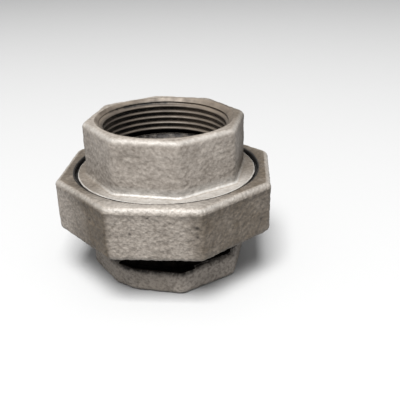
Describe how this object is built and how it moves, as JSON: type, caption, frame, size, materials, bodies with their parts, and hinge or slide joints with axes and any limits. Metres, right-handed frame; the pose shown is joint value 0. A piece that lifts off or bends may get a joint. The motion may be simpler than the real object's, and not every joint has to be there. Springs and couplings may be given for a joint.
{
  "type": "pipe union",
  "caption": "Octagonal malleable-iron pipe union with a flat seat: a threaded male end, a tail end and an octagonal nut, tapped at both ends.",
  "frame": {"origin": "centre of the tail end's open face, which is what the union stands on", "axes": "+Z along the pipe axis from the tail end to the male end; the flats of both ends face +X, -X, +Y and -Y"},
  "size_m": [0.0806, 0.0806, 0.0582],
  "materials": {
    "galvanised_iron_tail": "rough sand-cast surface, hot-dip galvanised, dull warm grey",
    "galvanised_iron_nut": "rough sand-cast surface, hot-dip galvanised, dull warm grey",
    "galvanised_iron_male": "rough sand-cast surface, hot-dip galvanised, dull warm grey",
    "gasket_fibre": "matt black fibre-rubber sheet"
  },
  "bodies": {
    "tail": {"tail_end": "galvanised_iron_tail", "gasket": "gasket_fibre"},
    "nut": {"union_nut": "galvanised_iron_nut"},
    "male": {"male_end": "galvanised_iron_male"}
  },
  "joints": [
    {"name": "nut_turn", "type": "hinge", "parent": "tail", "child": "nut", "pos_m": [0, 0, 0.022], "axis": [0, 0, -1], "range_deg": [0, 1260]},
    {"name": "male_end_lift", "type": "slide", "parent": "tail", "child": "male", "axis": [0, 0, 1], "range_m": [0, 0.0081]}
  ],
  "couplings": [
    {"joint": "male_end_lift", "follows": "nut_turn", "m_per_rad": 0.00036749}
  ]
}
